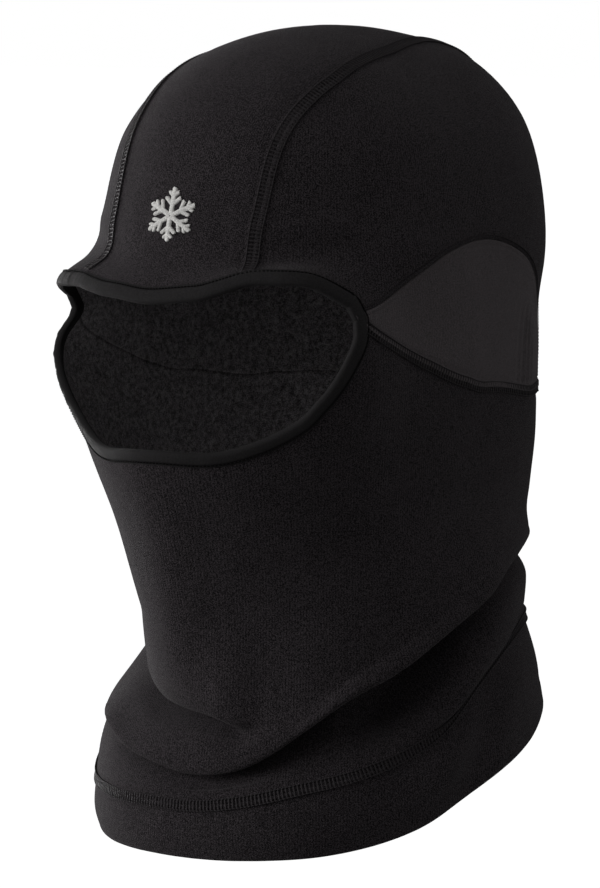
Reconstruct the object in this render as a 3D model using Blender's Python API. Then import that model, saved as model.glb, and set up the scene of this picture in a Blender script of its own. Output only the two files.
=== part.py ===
"""Balaclava for skiing: hood, face cover and folded neck tube, as worn on a head.

Metres, +Z up, the face looks along -Y. The origin is the inner apex of the crown,
where the cap rests on the head.
"""
import bpy
import bmesh
import numpy as np
from math import radians

# Driving dimensions, in millimetres.
MM = 0.001
FABRIC = 1.8            # brushed stretch fabric
BAND = 3.4              # the fabric doubled at the hem of the neck
EAR_FABRIC = 1.4        # thinner, smoother fabric over the ears
GAP = 0.2               # half the clearance between neighbouring pieces
LIFT = 1.0              # clearance between the fabric and the tape folded over it
RIDE = 1.0              # clearance between the fabric and the stitches lying on it
THREAD_WIDTH = 5.4      # flat seam over the crown
NECK_THREAD_WIDTH = 4.6
STITCH_WIDTH = 0.9      # single row of topstitching
THREAD = 0.5
TAPE = 0.9              # tape round the opening
TAPE_WIDTH = 6.2
EDGE_ROW = 7.4          # first row of cells from the opening, under the tape
CLEAR = 9.0             # where seams end beside the tape
SEAM_RING = 394.0       # where the neck tube meets its band

# Cells of each piece.
ACROSS_CROWN = 10
SIDE_FRONT = 5
EAR_LONG = 16
EAR_SHORT = 3
LOWER_EYE = 12
TUBE_ROWS = 19


def paired(front, quarter, side, rear_quarter, back):
    """A ring that is the same on both sides: (radius, height) at 0, 45, 90, 135, 180."""
    ring = []
    for angle, value in zip((0, 45, 90, 135, 180), (front, quarter, side, rear_quarter, back)):
        ring.append((angle, value[0], value[1]))
        if 0 < angle < 180:
            ring.append((-angle, value[0], value[1]))
    return ring


# The garment is lofted through these rings. Each has a distance from the apex down
# the fabric and, round the compass, an angle from the front, a radius and a height.
RINGS = [
    (35, paired((33, -4.5), (32.5, -5.5), (31, -7), (34, -4), (36, -3))),
    (68, paired((61, -17), (59, -19), (55, -22), (61.5, -15), (65, -12))),
    (98, paired((82, -38), (77, -40), (71, -43), (80.5, -36), (86, -32))),
    (135, paired((95, -73), (87, -74), (78.5, -75), (89.5, -73), (96.5, -72))),
    (156, paired((100, -90), (91, -88), (79, -93), (89.5, -93), (95, -92))),
    # Brow: the fabric stands out round the edge of the opening.
    (168, [(0, 108, -99.5), (12, 107, -97.5), (23, 105, -93), (35, 105, -93.5),
           (45, 101, -101), (60, 86, -108), (90, 78.5, -108), (135, 87.5, -106),
           (180, 92.5, -105), (-135, 87.5, -106), (-90, 78.5, -108), (-60, 87, -108),
           (-45, 101.5, -102), (-35, 106, -97), (-23, 107, -96), (-12, 107.5, -97.5)]),
    # Eyes.
    (196, [(0, 108, -132), (25, 107, -132), (45, 104.5, -131), (62, 87, -131),
           (90, 78, -132), (135, 86.5, -132), (180, 91, -130), (-135, 86.5, -132),
           (-90, 78, -132), (-62, 88, -131), (-45, 104.5, -131), (-25, 107, -132)]),
    # Nose.
    (230, [(0, 109.5, -167), (12, 105, -168), (23, 100.5, -166), (45, 93, -164),
           (62, 83, -163), (90, 76.5, -162), (135, 86, -162), (180, 89, -160),
           (-135, 86, -162), (-90, 76.5, -162), (-62, 83, -163), (-45, 91, -164),
           (-23, 101, -166), (-12, 106, -168)]),
    # Mouth.
    (256, [(0, 101.5, -192), (12, 97, -192), (25, 92, -192), (45, 86, -190),
           (65, 80, -187), (90, 76.5, -183), (135, 84, -180), (180, 88, -178),
           (-135, 83, -180), (-90, 76, -184), (-45, 80.5, -190), (-25, 90, -192),
           (-12, 97, -192)]),
    # Chin.
    (290, [(0, 91, -230), (12, 89, -229), (25, 87, -226), (45, 85.5, -216),
           (70, 83, -206), (90, 81, -199), (115, 80.5, -193), (135, 82.5, -191),
           (180, 86, -190), (-135, 82, -196), (-90, 73, -208), (-60, 70, -222),
           (-45, 69.5, -227), (-25, 78, -230), (-12, 86, -231)]),
    # Crease where the face cover tucks in over the fold of the neck.
    (318, [(-50, 64, -246), (-28.5, 67, -253.5), (-10, 74, -262), (1.5, 79, -265),
           (10, 83, -267), (18.3, 88.5, -271), (30, 90.5, -262), (45, 89.5, -248),
           (70, 87.5, -227), (85, 85.5, -214), (98, 84, -205), (115, 82, -201),
           (135, 83, -198), (180, 85.5, -199), (-135, 81, -207), (-90, 70, -228),
           (-70, 66, -238)]),
    # Roll of the fold.
    (332, [(-50, 73.5, -254), (-28.5, 79.5, -261), (-10, 86.5, -270), (1.5, 89.5, -273),
           (10, 91, -275), (18.3, 92, -277), (30, 91.3, -268), (45, 90.3, -254),
           (70, 88.3, -233), (85, 86.3, -220), (98, 84, -209), (115, 81.5, -204.5),
           (135, 83.5, -202), (180, 86, -203), (-135, 83, -212), (-90, 74, -236),
           (-70, 72, -246)]),
    # Lowest edge of the fold.
    (344, [(-50, 84, -266), (-30, 90.5, -273), (-20, 91.5, -279.5), (-8, 92, -284),
           (7.5, 92, -287.5), (18, 91.5, -284.5), (33, 90, -271.3), (45, 89, -260),
           (58, 88, -250), (70, 87, -239.2), (84.6, 85, -225.8), (98, 82, -213.6),
           (115, 79, -208.5), (135, 80, -206), (180, 83, -207), (-135, 81, -217),
           (-90, 78, -246), (-70, 79, -257)]),
    # Valley behind that edge.
    (356, [(-50, 80, -264), (-30, 84, -272), (-20, 84, -277), (-8, 84, -281),
           (7.5, 83, -283), (18, 80, -279), (33, 75, -264), (45, 73, -252),
           (58, 72, -241), (70, 71, -230), (84.6, 71, -217.5), (98, 72, -208),
           (115, 73, -206), (135, 75, -205), (180, 78, -207), (-135, 75, -216),
           (-90, 74, -243), (-70, 77, -255)]),
    # Swell of the second, lower fold at the side.
    (374, [(-50, 87, -281), (-30, 89, -287), (-20, 89.5, -289.5), (-8, 90, -291.5),
           (7.5, 89.5, -293), (18, 88, -290), (33, 85, -281), (45, 82.5, -272),
           (58, 82, -262), (70, 84.5, -251), (84.6, 85.5, -236), (98, 83.5, -224),
           (115, 81, -218), (135, 82, -217), (180, 85, -219), (-135, 82, -230),
           (-90, 84, -260), (-70, 85, -272)]),
    # Lap of that fold over the seam.
    (386, [(-50, 88.5, -289), (-30, 91, -293), (-20, 91.5, -294), (-8, 91.5, -294.5),
           (7.5, 91.5, -294.5), (18, 90.5, -292), (33, 88, -285.5), (45, 87, -280),
           (58, 88, -272), (66, 88.7, -267), (73, 89, -264), (84.6, 87.5, -250),
           (98, 84.5, -239), (115, 80.5, -231.5), (135, 81.5, -229), (180, 84.5, -230),
           (-135, 83, -241), (-90, 85, -270), (-70, 86.5, -281)]),
    # Seam of the band.
    (394, [(-50, 89, -295), (-30, 91.5, -298), (-20, 92, -299), (-8, 92, -299.3),
           (7.5, 92, -299.3), (18, 91.8, -297), (33, 91, -291.5), (45, 90.5, -287),
           (58, 89, -280), (70, 86, -271), (84.6, 82, -255), (98, 80.5, -243.5),
           (115, 80, -235.5), (135, 81.5, -233.5), (180, 85, -235), (-135, 83.5, -246),
           (-90, 86, -275), (-70, 87.5, -286.5)]),
    # Middle of the band.
    (410, [(-50, 90, -307.5), (-30, 92, -311), (-8, 93, -312), (7.5, 93, -312),
           (18, 93, -311), (33, 92.5, -307.5), (45, 92, -303.5), (58, 91.5, -297),
           (70, 90.5, -288.5), (84.6, 88, -274.5), (98, 86.5, -264), (115, 85, -254),
           (135, 86, -250), (180, 88.5, -250), (-135, 87, -262), (-90, 88, -290),
           (-70, 89, -301)]),
    # Hem.
    (424, [(-50, 88, -315.5), (-29, 90, -318.5), (-9, 91, -319.5), (18, 91, -319.5),
           (40, 91, -316.5), (63, 90.5, -307.5), (75, 90, -300), (89.6, 89.3, -289.5),
           (105, 89, -280.5), (120, 88.7, -272.5), (135, 89, -267.5), (180, 90, -264),
           (-135, 88.5, -277), (-90, 87, -301), (-70, 87, -310.5)]),
]

# Seam lines on the opened-out fabric of the wearer's left side: x runs to the left
# ear and y to the back, both as distances from the apex.
EYE_UPPER = [(0, -172.5), (32, -169.5), (51, -164.5), (66.5, -158)]
EYE_SIDE = [(66.5, -158), (85, -149), (105, -135), (119, -124)]
EYE_CORNER = [(119, -124), (125.5, -123.5)]
EYE_LOWER = [(125.5, -123.5), (130, -129), (131, -139), (129, -152), (125, -163),
             (117, -178), (100, -195), (80, -208), (58, -216.5), (31, -222), (0, -224.5)]
CROWN_LINE = [(66.5, -158), (60, -148), (54, -133), (50, -115), (46.5, -97), (45.5, -80),
              (46.5, -62), (47, -46), (43, -10), (37, 12), (32.5, 30), (30, 60), (30.5, 95),
              (34, 146), (42, 206)]
EAR_UPPER = [(119, -124), (125, -119), (135, -95), (144, -65), (146, -40), (144, 0),
             (143, 40), (139, 85), (139.5, 120)]
EAR_REAR = [(139.5, 120), (144, 134), (150, 145)]
EAR_LOWER = [(125.5, -123.5), (132, -119), (144, -110), (162, -94), (177, -77), (191, -53),
             (200, -26), (204.5, 10), (197, 62), (180, 106), (150, 145)]
NAPE_SIDE = [(42, 206), (80, 195), (117, 173), (150, 145)]
NAPE_BACK = [(0, 211), (21, 209.6), (42, 206)]


def ring_curve(pairs):
    """Smooth periodic curve through (degrees, value) pairs."""
    pairs = sorted(pairs)
    angle = np.radians([pair[0] for pair in pairs])
    value = np.array([pair[1] for pair in pairs], float)
    turn = 2 * np.pi
    angle = np.concatenate([angle - turn, angle, angle + turn])
    value = np.tile(value, 3)
    step = np.diff(angle)
    rise = np.diff(value) / step
    slope = np.zeros_like(value)
    slope[1:-1] = (rise[:-1] * step[1:] + rise[1:] * step[:-1]) / (step[1:] + step[:-1])

    def curve(phi):
        wrapped = (np.asarray(phi, float) + np.pi) % turn - np.pi
        i = np.clip(np.searchsorted(angle, wrapped, side="right") - 1, 0, len(angle) - 2)
        return hermite((wrapped - angle[i]) / step[i], step[i],
                       value[i], value[i + 1], slope[i], slope[i + 1])
    return curve


def hermite(s, length, a, b, slope_a, slope_b):
    """Cubic from a to b over a length, with the given end slopes."""
    return ((2 * s ** 3 - 3 * s ** 2 + 1) * a + (s ** 3 - 2 * s ** 2 + s) * length * slope_a
            + (-2 * s ** 3 + 3 * s ** 2) * b + (s ** 3 - s ** 2) * length * slope_b)


RING_AT = np.array([0.0] + [ring[0] for ring in RINGS])
RADIUS = [ring_curve([(k[0], k[1]) for k in ring[1]]) for ring in RINGS]
HEIGHT = [ring_curve([(k[0], k[2]) for k in ring[1]]) for ring in RINGS]


def loft(values, first, s, i, span):
    """Follow the rings down one meridian."""
    run = np.diff(RING_AT)
    ends = np.concatenate([first[None], values, (2 * values[-1] - values[-2])[None]])
    places = np.concatenate([[-RING_AT[1]], RING_AT, [2 * RING_AT[-1] - RING_AT[-2]]])
    slopes = []
    for k in range(len(RING_AT)):
        before = places[k + 1] - places[k]
        after = places[k + 2] - places[k + 1]
        rise_a = (ends[k + 1] - ends[k]) / before
        rise_b = (ends[k + 2] - ends[k + 1]) / after
        slopes.append((rise_a * after + rise_b * before) / (before + after))
    slopes = np.stack(slopes)

    def pick(table, index):
        return np.take_along_axis(table, index[None], 0)[0]
    return hermite(s, run[i], pick(values, i), pick(values, i + 1),
                   pick(slopes, i), pick(slopes, i + 1))


def surface(x, y):
    """Outer face of the garment, in millimetres, above a point of the opened-out fabric."""
    x, y = np.broadcast_arrays(np.asarray(x, float), np.asarray(y, float))
    phi = np.arctan2(x, -y)
    down = np.hypot(x, y)
    radii = np.stack([np.zeros_like(phi)] + [curve(phi) for curve in RADIUS])
    heights = np.stack([np.zeros_like(phi)] + [curve(phi) for curve in HEIGHT])
    i = np.clip(np.searchsorted(RING_AT, down, side="right") - 1, 0, len(RING_AT) - 2)
    span = np.diff(RING_AT)[i]
    s = (down - RING_AT[i]) / span
    radius = loft(radii, -RADIUS[0](phi + np.pi), s, i, span)
    height = loft(heights, HEIGHT[0](phi + np.pi), s, i, span)
    return np.stack([radius * np.sin(phi), -radius * np.cos(phi), height + FABRIC], -1)


def normal(x, y):
    """Outward direction of the garment's face."""
    step = 0.2
    along_x = surface(x + step, y) - surface(x - step, y)
    along_y = surface(x, y + step) - surface(x, y - step)
    out = np.cross(along_x, along_y)
    return out / np.linalg.norm(out, axis=-1, keepdims=True)


def divide(points, cells, first=()):
    """Points at even distances along a smooth curve; the first few may be set apart."""
    points = np.array(points, float)
    ends = np.concatenate([[2 * points[0] - points[1]], points, [2 * points[-1] - points[-2]]])
    fine = []
    for k in range(1, len(ends) - 2):
        for s in np.arange(16) / 16:
            tangent_a = (ends[k + 1] - ends[k - 1]) / 2
            tangent_b = (ends[k + 2] - ends[k]) / 2
            fine.append(hermite(s, 1.0, ends[k], ends[k + 1], tangent_a, tangent_b))
    fine.append(points[-1])
    fine = np.array(fine)
    run = np.concatenate([[0], np.cumsum(np.linalg.norm(np.diff(fine, axis=0), axis=1))])
    at = np.linspace(0, run[-1], cells + 1)
    if first:
        rest = np.linspace(first[-1], run[-1], cells + 1 - len(first))
        at = np.concatenate([[0], first[:-1], rest])
    return np.stack([np.interp(at, run, fine[:, 0]), np.interp(at, run, fine[:, 1])], -1)


def shorten(line, start, end):
    """A line cut back at its two ends, measured over the garment, with its cells kept."""
    here = surface(line[:, 0], line[:, 1])
    run = np.concatenate([[0], np.cumsum(np.linalg.norm(np.diff(here, axis=0), axis=1))])
    inner = run[(run > start + 1.0) & (run < run[-1] - end - 1.0)]
    at = np.concatenate([[start], inner, [run[-1] - end]])
    return np.stack([np.interp(at, run, line[:, 0]), np.interp(at, run, line[:, 1])], -1)


def mirror(points):
    """The same line on the wearer's right side."""
    return points * np.array([-1, 1])


def join(*lines):
    """Lines laid end to end."""
    return np.concatenate([lines[0]] + [line[1:] for line in lines[1:]])


def coons(start, end, left, right):
    """Grid between four lines: start and end run across, left and right run along."""
    u = np.linspace(0, 1, len(start))[None, :, None]
    v = np.linspace(0, 1, len(left))[:, None, None]
    across = (1 - v) * start[None] + v * end[None]
    along = (1 - u) * left[:, None] + u * right[:, None]
    corners = ((1 - u) * (1 - v) * start[0] + u * (1 - v) * start[-1]
               + (1 - u) * v * end[0] + u * v * end[-1])
    return across + along - corners


def draw_in(points, amount, closed=False):
    """Draw the rim of a grid inwards, so that neighbours stay clear of each other."""
    points = points.copy()
    rims = [((0,), (1,)), ((-1,), (-2,))]
    if not closed:
        rims += [((slice(None), 0), (slice(None), 1)), ((slice(None), -1), (slice(None), -2))]
    for rim, inner in rims:
        inward = points[inner] - points[rim]
        length = np.linalg.norm(inward, axis=-1, keepdims=True)
        points[rim] = points[rim] + inward / length * amount
    return points


def new_object(name, vertices, faces, colour, roughness, smooth=True):
    """One closed piece with its own material; its faces are turned outwards."""
    mesh = bpy.data.meshes.new(name)
    mesh.from_pydata([tuple(v) for v in np.asarray(vertices) * MM], [], faces)
    shape = bmesh.new()
    shape.from_mesh(mesh)
    bmesh.ops.recalc_face_normals(shape, faces=shape.faces)
    shape.to_mesh(mesh)
    shape.free()
    for face in mesh.polygons:
        face.use_smooth = smooth
    material = bpy.data.materials.new(name)
    material.use_nodes = True
    shader = material.node_tree.nodes["Principled BSDF"]
    shader.inputs["Base Color"].default_value = (colour[0], colour[1], colour[2], 1)
    shader.inputs["Roughness"].default_value = roughness
    mesh.materials.append(material)
    thing = bpy.data.objects.new(name, mesh)
    bpy.context.scene.collection.objects.link(thing)
    return thing


def layer(outer, inner, closed=False):
    """Vertices and faces of a sheet between two grids; closed grids wrap round."""
    rows, columns = outer.shape[:2]
    count = rows * columns
    vertices = np.concatenate([outer.reshape(-1, 3), inner.reshape(-1, 3)])
    faces = []
    wrap = columns if closed else columns - 1

    def at(r, c, side):
        return side * count + r * columns + c % columns
    for r in range(rows - 1):
        for c in range(wrap):
            faces.append((at(r, c, 0), at(r, c + 1, 0), at(r + 1, c + 1, 0), at(r + 1, c, 0)))
            faces.append((at(r, c, 1), at(r + 1, c, 1), at(r + 1, c + 1, 1), at(r, c + 1, 1)))
    for c in range(wrap):
        for r, turn in ((0, True), (rows - 1, False)):
            rim = [at(r, c, 0), at(r, c, 1), at(r, c + 1, 1), at(r, c + 1, 0)]
            faces.append(tuple(rim if turn else rim[::-1]))
    if not closed:
        for r in range(rows - 1):
            for c, turn in ((0, False), (columns - 1, True)):
                rim = [at(r, c, 0), at(r, c, 1), at(r + 1, c, 1), at(r + 1, c, 0)]
                faces.append(tuple(rim if turn else rim[::-1]))
    return vertices, faces


def panel(name, grid, thickness, colour, roughness, closed=False, top=0.0):
    """A piece of fabric cut to a grid, from `top` above the face down through it."""
    x = grid[..., 0]
    y = grid[..., 1]
    face = surface(x, y)
    out = normal(x, y)
    outer = draw_in(face + top * out, GAP, closed)
    inner = draw_in(face + (top - thickness) * out, GAP, closed)
    vertices, faces = layer(outer, inner, closed)
    return new_object(name, vertices, faces, colour, roughness)


def ribbon(name, line, width, colour, sides=2, closed=False, inset=0.0, base=RIDE):
    """A flat run of stitches lying on the fabric along a line."""
    x = line[:, 0]
    y = line[:, 1]
    here = surface(x, y)
    if closed:
        ahead = np.roll(here, -1, 0) - np.roll(here, 1, 0)
    else:
        ahead = np.gradient(here, axis=0)
    out = normal(x, y)
    across = np.cross(out, ahead)
    across /= np.linalg.norm(across, axis=-1, keepdims=True)
    rows_outer = []
    rows_inner = []
    for k in range(sides + 1):
        shift = (k / sides - 0.5) * width + inset
        px, py = walk(x, y, across * shift)
        face = surface(px, py)
        lift = normal(px, py)
        rows_inner.append(face + lift * base)
        rows_outer.append(face + lift * (base + THREAD))
    vertices, faces = layer(np.stack(rows_outer), np.stack(rows_inner), closed)
    return new_object(name, vertices, faces, colour, 0.6)


def walk(x, y, move):
    """Where a short move over the garment leads on the opened-out fabric."""
    step = 0.2
    along_x = (surface(x + step, y) - surface(x - step, y)) / (2 * step)
    along_y = (surface(x, y + step) - surface(x, y - step)) / (2 * step)
    a = np.sum(along_x * along_x, -1)
    b = np.sum(along_x * along_y, -1)
    c = np.sum(along_y * along_y, -1)
    d = np.sum(along_x * move, -1)
    e = np.sum(along_y * move, -1)
    det = a * c - b * b
    return x + (c * d - b * e) / det, y + (a * e - b * d) / det


for thing in list(bpy.data.objects):
    bpy.data.objects.remove(thing, do_unlink=True)

eye_upper = divide(EYE_UPPER, ACROSS_CROWN // 2)
eye_side = divide(EYE_SIDE, SIDE_FRONT)
eye_corner = divide(EYE_CORNER, EAR_SHORT)
eye_lower = divide(EYE_LOWER, LOWER_EYE, [4.5, 9.5, 16.0])
crown_line = divide(CROWN_LINE, EAR_LONG + EAR_SHORT, [EDGE_ROW, 15.0, 24.0, 35.0])
ear_upper = divide(EAR_UPPER, EAR_LONG, [EDGE_ROW])
ear_rear = divide(EAR_REAR, EAR_SHORT)
ear_lower = divide(EAR_LOWER, EAR_LONG, [EDGE_ROW])
nape_side = divide(NAPE_SIDE, SIDE_FRONT)
nape_back = divide(NAPE_BACK, ACROSS_CROWN // 2)

BLACK = (0.010, 0.009, 0.010)
SLATE = (0.016, 0.015, 0.016)
INK = (0.013, 0.012, 0.013)
WHITE = (0.80, 0.80, 0.78)

panel("crown_panel",
      coons(join(mirror(eye_upper)[::-1], eye_upper), join(mirror(nape_back)[::-1], nape_back),
            mirror(crown_line), crown_line), FABRIC, BLACK, 0.9)
for side, turn in (("left", False), ("right", True)):
    def on_side(points):
        return mirror(points) if turn else points
    panel("side_panel_" + side,
          coons(on_side(eye_side), on_side(nape_side), on_side(crown_line),
                on_side(join(ear_upper, ear_rear))), FABRIC, BLACK, 0.9)
    panel("ear_panel_" + side,
          coons(on_side(eye_corner), on_side(ear_rear), on_side(ear_upper), on_side(ear_lower)),
          EAR_FABRIC, SLATE, 0.7)
    ribbon("crown_seam_" + side, on_side(shorten(crown_line, CLEAR, 3.2)), THREAD_WIDTH, INK)
    ribbon("ear_topstitch_" + side, on_side(shorten(join(ear_upper, ear_rear), CLEAR + 4, 3.5)),
           STITCH_WIDTH, INK, 1, inset=-1.8 if turn else 1.8)

# The edge of the opening, all round, and the way out from it over the fabric.
half = join(eye_upper, eye_side, eye_corner, eye_lower)
loop = join(half, mirror(half)[::-1])[:-1]
lx = loop[:, 0]
ly = loop[:, 1]
here = surface(lx, ly)
out = normal(lx, ly)
ahead = np.roll(here, -1, 0) - np.roll(here, 1, 0)
away = np.cross(out, ahead)
away /= np.linalg.norm(away, axis=-1, keepdims=True)
middle = here.mean(axis=0)
if np.sum(away * (here - middle)) < 0:
    away = -away

# The face cover and neck tube: one wrap from the centre of the back round the front.
top_left = join(nape_back, nape_side, ear_lower[::-1], eye_lower)
top = join(top_left, mirror(top_left)[::-1])
columns = len(top)
even = np.linspace(np.pi, -np.pi, columns)
top_angle = np.arctan2(top[:, 0], -top[:, 1])
top_angle[0] = np.pi
top_angle[-1] = -np.pi
foot_angle = 0.55 * even + 0.45 * top_angle
rim = surface(top[:, 0], top[:, 1])
below = np.cross(np.gradient(rim, axis=0), normal(top[:, 0], top[:, 1]))
below /= np.linalg.norm(below, axis=-1, keepdims=True)
if below[columns // 2, 2] > 0:
    below = -below
eye_start = 2 * SIDE_FRONT + EAR_LONG
eye_end = eye_start + 2 * LOWER_EYE
edge = len(half) - 1 - LOWER_EYE
below[eye_start + 1:eye_end] = away[edge + 1:edge + 2 * LOWER_EYE]
first_x, first_y = walk(top[:, 0], top[:, 1], below * EDGE_ROW)
first_x[0] = 0.0
first_x[-1] = 0.0
first_angle = np.arctan2(first_x, -first_y)
first_angle[0] = np.pi
first_angle[-1] = -np.pi
first_down = np.hypot(first_x, first_y)
rows = [top, np.stack([first_x, first_y], -1)]
fold_rows = [290, 304, 318, 325, 332, 338, 344, 350, 356, 365, 374, 380, 386, SEAM_RING - 1.2]
free = TUBE_ROWS - len(fold_rows)
for k in range(1, TUBE_ROWS):
    if k < free:
        share = k / free
        down = first_down + (fold_rows[0] - first_down) * share
    else:
        share = 1.0
        down = np.full(columns, float(fold_rows[k - free]))
    blend = share * share * (3 - 2 * share)
    angle = first_angle * (1 - blend) + foot_angle * blend
    rows.append(np.stack([down * np.sin(angle), -down * np.cos(angle)], -1))
tube = np.stack(rows)
tube[:, 0, 0] = 0.35
tube[:, -1, 0] = -0.35
panel("face_neck_panel", tube, FABRIC, BLACK, 0.9)

# The band: the same fabric doubled, closed all round.
rows = []
for down in (SEAM_RING + 1.2, 402, 410, 417, 424):
    rows.append(np.stack([down * np.sin(foot_angle[:-1]), -down * np.cos(foot_angle[:-1])], -1))
panel("neck_band", np.stack(rows), BAND, BLACK, 0.9, closed=True)
around = np.stack([SEAM_RING * np.sin(foot_angle[:-1]), -SEAM_RING * np.cos(foot_angle[:-1])], -1)
ribbon("band_seam", around, NECK_THREAD_WIDTH, INK, 2, closed=True)

# The seam under the ears and round the nape, from one eye corner to the other.
nape = join(ear_lower, nape_side[::-1], nape_back[::-1])
ribbon("nape_seam", shorten(join(nape, mirror(nape)[::-1]), CLEAR, CLEAR),
       NECK_THREAD_WIDTH, INK)

# The seam that closes the tube behind the neck.
back = np.stack([np.zeros(15), np.array([217, 232, 247, 262, 277, 290, 304, 318, 325, 332, 338,
                                         344, 350, 356, 362], float)], -1)
ribbon("back_seam", back, NECK_THREAD_WIDTH, INK, 2)

# The tape folded over the edge of the opening, with its stitches.
DEPTH = FABRIC + LIFT
PROFILE = [(TAPE_WIDTH, LIFT), (TAPE_WIDTH, LIFT + TAPE), (0.0, LIFT + TAPE), (-1.3, 0.0),
           (-1.3, -FABRIC), (0.0, -DEPTH - TAPE), (TAPE_WIDTH, -DEPTH - TAPE),
           (TAPE_WIDTH, -DEPTH), (0.0, -DEPTH), (-0.4, -FABRIC), (-0.4, 0.0), (0.0, LIFT)]
sections = []
for reach, lift in PROFILE:
    px, py = walk(lx, ly, away * max(reach, 0.0))
    sections.append(surface(px, py) + normal(px, py) * lift + away * min(reach, 0.0))
sections = np.stack(sections)
count = len(loop)
faces = []
for p in range(len(PROFILE)):
    for c in range(count):
        following = (p + 1) % len(PROFILE)
        faces.append((p * count + c, following * count + c,
                      following * count + (c + 1) % count, p * count + (c + 1) % count))
new_object("opening_binding", sections.reshape(-1, 3), faces, SLATE, 0.6)
sign = 1.0 if np.sum(np.cross(out, ahead) * away) > 0 else -1.0
ribbon("binding_topstitch", loop, STITCH_WIDTH, INK, 1, closed=True,
       inset=sign * 5.4, base=LIFT + TAPE + LIFT)

# A small six-armed snowflake embroidered on the forehead.
ARM = 11.5
HALF_STROKE = 1.0
outline = []
for arm in range(6):
    heading = radians(60 * arm)
    forward = np.array([np.sin(heading), np.cos(heading)])
    sideways = np.array([np.cos(heading), -np.sin(heading)])
    half_arm = [(-HALF_STROKE, 2.0), (-HALF_STROKE, 5.2), (-4.2, 7.2), (-3.2, 8.6),
                (-HALF_STROKE, 7.4), (-HALF_STROKE, ARM)]
    for s, f in half_arm + [(-s, f) for s, f in half_arm[::-1]]:
        outline.append(sideways * s + forward * f)
outline = np.array(outline)
centre = (0.6, -133.5)
spread = np.array([1.5, 1.0])
points = []
for lift in (LIFT, LIFT + 0.7):
    ring = outline * spread
    px = centre[0] + ring[:, 0]
    py = centre[1] - ring[:, 1]
    points.append(surface(px, py) + normal(px, py) * lift)
    hub = surface(np.array([centre[0]]), np.array([centre[1]]))
    points.append(hub + normal(np.array([centre[0]]), np.array([centre[1]])) * lift)
points = np.concatenate(points)
count = len(outline)
faces = []
for k in range(count):
    after = (k + 1) % count
    faces.append((k, after, count + 1 + after, count + 1 + k))
for base, turn in ((0, False), (count + 1, True)):
    hub = base + count
    arms = [base + 12 * arm for arm in range(6)]
    for arm in range(6):
        first = arms[arm]
        quads = [(first, first + 1, first + 10, first + 11),
                 (first + 1, first + 4, first + 7, first + 10),
                 (first + 1, first + 2, first + 3, first + 4),
                 (first + 10, first + 7, first + 8, first + 9),
                 (first + 4, first + 5, first + 6, first + 7),
                 (hub, first, first + 11),
                 (hub, first + 11, arms[(arm + 1) % 6])]
        faces += [quad[::-1] if turn else quad for quad in quads]
new_object("forehead_motif", points, faces, WHITE, 0.5, smooth=False)

# A blank care label inside the band at the back.
rows = []
for down in (398, 404, 410, 416):
    half_width = 13.0 / 90.0
    angles = np.pi + np.linspace(-half_width, half_width, 7)
    rows.append(np.stack([down * np.sin(angles), -down * np.cos(angles)], -1))
label = np.stack(rows)
face = surface(label[..., 0], label[..., 1])
out = normal(label[..., 0], label[..., 1])
vertices, faces = layer(face - (BAND + LIFT) * out, face - (BAND + LIFT + 0.4) * out)
new_object("care_label", vertices, faces, WHITE, 0.6)
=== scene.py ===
"""Looks of the balaclava: sewn fabric, seams of real thread, tape, embroidery and light."""
from math import cos, radians, sin

import bpy
import numpy as np
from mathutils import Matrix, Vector


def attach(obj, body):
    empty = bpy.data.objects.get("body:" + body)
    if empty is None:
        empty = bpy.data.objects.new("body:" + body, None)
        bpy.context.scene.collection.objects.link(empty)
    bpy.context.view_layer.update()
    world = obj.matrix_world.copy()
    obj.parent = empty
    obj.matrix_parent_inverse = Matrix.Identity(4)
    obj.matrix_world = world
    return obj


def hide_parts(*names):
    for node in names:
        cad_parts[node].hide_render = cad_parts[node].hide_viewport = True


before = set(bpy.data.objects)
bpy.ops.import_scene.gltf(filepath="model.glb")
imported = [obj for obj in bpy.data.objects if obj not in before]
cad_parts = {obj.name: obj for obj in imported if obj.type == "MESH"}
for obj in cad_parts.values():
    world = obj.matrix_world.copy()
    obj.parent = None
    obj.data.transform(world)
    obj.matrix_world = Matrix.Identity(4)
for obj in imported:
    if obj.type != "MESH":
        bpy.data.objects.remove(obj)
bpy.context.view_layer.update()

# Lengths are in millimetres until a mesh is made.
MM = 0.001
FABRIC = 1.8
EAR_FABRIC = 1.4
LEAF = 1.55             # one layer of the folded band
SEAM_RING = 394.0
CELL = 1.5              # size of the cells of the fabric
COARSE = 1.0
FLATLOCK = 5.0          # width of the crown's flat seams
NARROW_FLATLOCK = 4.2   # width of the nape, back and band seams
SEAM_LIFT = 0.50        # how far their thread lies over the fabric
SEAM_MARGIN = 10.0      # fabric that runs square to the upper edge of the tube
TUBE_TOP = 250.0        # typical distance of that edge, which sets the number of rows
BAND_END = 423.4        # last row of the band before the fold at the hem
SLOPE_STEP = 0.2        # step for slopes of the surface


def paired(front, quarter, side, rear_quarter, back):
    """A ring that is the same on both sides: (radius, height) at 0, 45, 90, 135, 180."""
    ring = []
    for angle, value in zip((0, 45, 90, 135, 180), (front, quarter, side, rear_quarter, back)):
        ring.append((angle, value[0], value[1]))
        if 0 < angle < 180:
            ring.append((-angle, value[0], value[1]))
    return ring


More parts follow.
